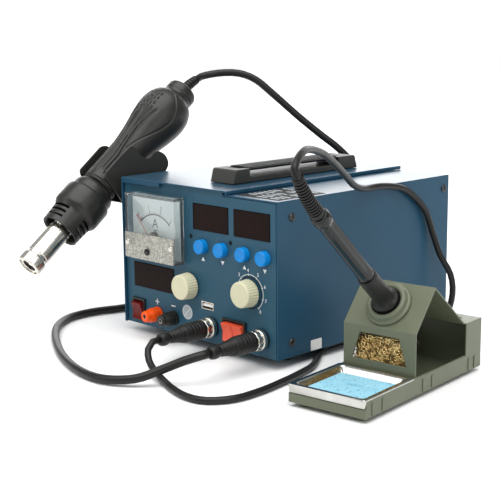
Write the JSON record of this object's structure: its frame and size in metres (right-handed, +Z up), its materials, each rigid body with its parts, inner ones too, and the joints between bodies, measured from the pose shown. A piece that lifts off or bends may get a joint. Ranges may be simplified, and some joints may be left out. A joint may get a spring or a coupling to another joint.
{
  "type": "bench power supply",
  "caption": "Bench power supply and repair station with meter, displays, output terminals, hot-air gun in a side holder, and soldering iron in a sheet-metal stand.",
  "frame": {"origin": "on the bench, under the middle of the box round everything but the cords and their plugs", "axes": "+X right along the front panel, +Y from the front panel to the rear, +Z up"},
  "size_m": [0.3835, 0.3789, 0.2259],
  "materials": {
    "case_blue": "satin",
    "cover_blue": "satin",
    "black_steel": "satin",
    "black_plastic": "satin",
    "gloss_black": "gloss",
    "black_rubber": "matte",
    "clear_plastic": "gloss",
    "dial_white": "matte",
    "brushed_metal": "satin",
    "nickel": "polished",
    "smoked_window": "gloss",
    "button_blue": "satin",
    "cream_plastic": "satin",
    "signal_red": "gloss",
    "dark_red": "gloss",
    "orange_plastic": "satin",
    "stand_green": "satin",
    "stainless": "polished",
    "sponge_blue": "matte",
    "brass": "satin",
    "board_green": "satin",
    "lamination": "satin"
  },
  "bodies": {
    "station": {"base_tray": "case_blue", "brass_wool": "brass", "control_board": "board_green", "display_window_air": "smoked_window", "display_window_iron": "smoked_window", "display_window_supply": "smoked_window", "foot_front_left": "black_rubber", "foot_front_right": "black_rubber", "foot_rear_left": "black_rubber", "foot_rear_right": "black_rubber", "front_panel": "case_blue", "gun_cord": "black_rubber", "gun_holder": "black_steel", "gun_plug": "black_rubber", "handle_base": "black_plastic", "iron_cord": "black_rubber", "iron_holder_ring": "stand_green", "iron_plug": "black_rubber", "left_top_cover": "cover_blue", "mains_inlet": "black_plastic", "meter_case": "clear_plastic", "meter_dial": "dial_white", "meter_trim": "brushed_metal", "output_switch_body": "black_plastic", "power_switch_body": "black_plastic", "rear_panel": "case_blue", "right_cover": "cover_blue", "stand_base": "stand_green", "stand_housing": "stand_green", "terminal_base_negative": "black_plastic", "terminal_base_positive": "orange_plastic", "transformer": "lamination", "usb_socket": "brushed_metal"},
    "voltage_knob": {"voltage_knob": "cream_plastic"},
    "air_flow_knob": {"air_flow_knob": "cream_plastic"},
    "button_iron_up": {"button_iron_up": "button_blue"},
    "button_iron_down": {"button_iron_down": "button_blue"},
    "button_air_up": {"button_air_up": "button_blue"},
    "button_air_down": {"button_air_down": "button_blue"},
    "output_rocker": {"output_rocker": "dark_red"},
    "power_rocker_left": {"power_rocker_left": "signal_red"},
    "power_rocker_right": {"power_rocker_right": "signal_red"},
    "terminal_cap_positive": {"terminal_cap_positive": "orange_plastic"},
    "terminal_cap_negative": {"terminal_cap_negative": "black_plastic"},
    "gun_plug_ring": {"gun_plug_ring": "nickel"},
    "iron_plug_ring": {"iron_plug_ring": "nickel"},
    "meter_needle": {"meter_needle": "dark_red"},
    "handle_strap": {"handle_strap": "black_rubber"},
    "gun": {"gun_shell_left": "black_plastic", "gun_shell_right": "black_plastic", "gun_shroud": "black_plastic", "gun_heater_tube": "nickel", "gun_strain_relief": "black_rubber"},
    "gun_fan": {"gun_fan": "black_plastic"},
    "iron": {"iron_barrel": "stainless", "iron_grip": "black_rubber", "iron_handle": "gloss_black", "iron_strain_relief": "black_rubber"},
    "sponge_tray": {"sponge_tray": "stainless"},
    "sponge": {"sponge": "sponge_blue"}
  },
  "joints": [
    {"name": "voltage_knob_turn", "type": "hinge", "parent": "station", "child": "voltage_knob", "pos_m": [-0.04653, -0.06598, 0.0534], "axis": [0, 1, 0], "range_deg": [-150, 150]},
    {"name": "air_flow_knob_turn", "type": "hinge", "parent": "station", "child": "air_flow_knob", "pos_m": [0.02527, -0.06598, 0.0586], "axis": [0, 1, 0], "range_deg": [-150, 150]},
    {"name": "button_iron_up_press", "type": "slide", "parent": "station", "child": "button_iron_up", "axis": [0, 1, 0], "range_m": [0, 0.0015], "stiffness_N_per_m": 400, "springref_m": -0.0005},
    {"name": "button_iron_down_press", "type": "slide", "parent": "station", "child": "button_iron_down", "axis": [0, 1, 0], "range_m": [0, 0.0015], "stiffness_N_per_m": 400, "springref_m": -0.0005},
    {"name": "button_air_up_press", "type": "slide", "parent": "station", "child": "button_air_up", "axis": [0, 1, 0], "range_m": [0, 0.0015], "stiffness_N_per_m": 400, "springref_m": -0.0005},
    {"name": "button_air_down_press", "type": "slide", "parent": "station", "child": "button_air_down", "axis": [0, 1, 0], "range_m": [0, 0.0015], "stiffness_N_per_m": 400, "springref_m": -0.0005},
    {"name": "output_rocker_tip", "type": "hinge", "parent": "station", "child": "output_rocker", "pos_m": [-0.11403, -0.06398, 0.02175], "axis": [1, 0, 0], "range_deg": [-16, 0]},
    {"name": "power_rocker_left_tip", "type": "hinge", "parent": "station", "child": "power_rocker_left", "pos_m": [0.00145, -0.06398, 0.023], "axis": [1, 0, 0], "range_deg": [-16, 0]},
    {"name": "power_rocker_right_tip", "type": "hinge", "parent": "station", "child": "power_rocker_right", "pos_m": [0.0131, -0.06398, 0.023], "axis": [1, 0, 0], "range_deg": [-16, 0]},
    {"name": "terminal_cap_positive_unscrew", "type": "slide", "parent": "station", "child": "terminal_cap_positive", "axis": [0, -1, 0], "range_m": [0, 0.004]},
    {"name": "terminal_cap_negative_unscrew", "type": "slide", "parent": "station", "child": "terminal_cap_negative", "axis": [0, -1, 0], "range_m": [0, 0.004]},
    {"name": "gun_plug_ring_turn", "type": "hinge", "parent": "station", "child": "gun_plug_ring", "pos_m": [0.03877, -0.07198, 0.0232], "axis": [0, 1, 0], "range_deg": [0, 720]},
    {"name": "iron_plug_ring_turn", "type": "hinge", "parent": "station", "child": "iron_plug_ring", "pos_m": [-0.02023, -0.07198, 0.0224], "axis": [0, 1, 0], "range_deg": [0, 720]},
    {"name": "meter_needle_swing", "type": "hinge", "parent": "station", "child": "meter_needle", "pos_m": [-0.08453, -0.06998, 0.0833], "axis": [0, 1, 0], "range_deg": [0, 84], "stiffness_Nm_per_rad": 0.0004},
    {"name": "handle_strap_lift", "type": "slide", "parent": "station", "child": "handle_strap", "axis": [0, 0, 1], "range_m": [0, 0.008]},
    {"name": "gun_lift", "type": "slide", "parent": "station", "child": "gun", "axis": [0, -0.617, 0.7869], "range_m": [0, 0.06], "deforming": ["gun_cord"]},
    {"name": "gun_fan_spin", "type": "hinge", "parent": "gun", "child": "gun_fan", "pos_m": [-0.16023, -0.00391, 0.18047], "axis": [0, 0.7869, 0.617], "continuous": true},
    {"name": "iron_lift_out", "type": "slide", "parent": "station", "child": "iron", "axis": [0.0848, -0.7441, 0.6626], "range_m": [0, 0.12], "deforming": ["iron_cord"]},
    {"name": "sponge_tray_lift", "type": "slide", "parent": "station", "child": "sponge_tray", "axis": [0, 0, 1], "range_m": [0, 0.03]},
    {"name": "sponge_lift", "type": "slide", "parent": "sponge_tray", "child": "sponge", "axis": [0, 0, 1], "range_m": [0, 0.02]}
  ]
}
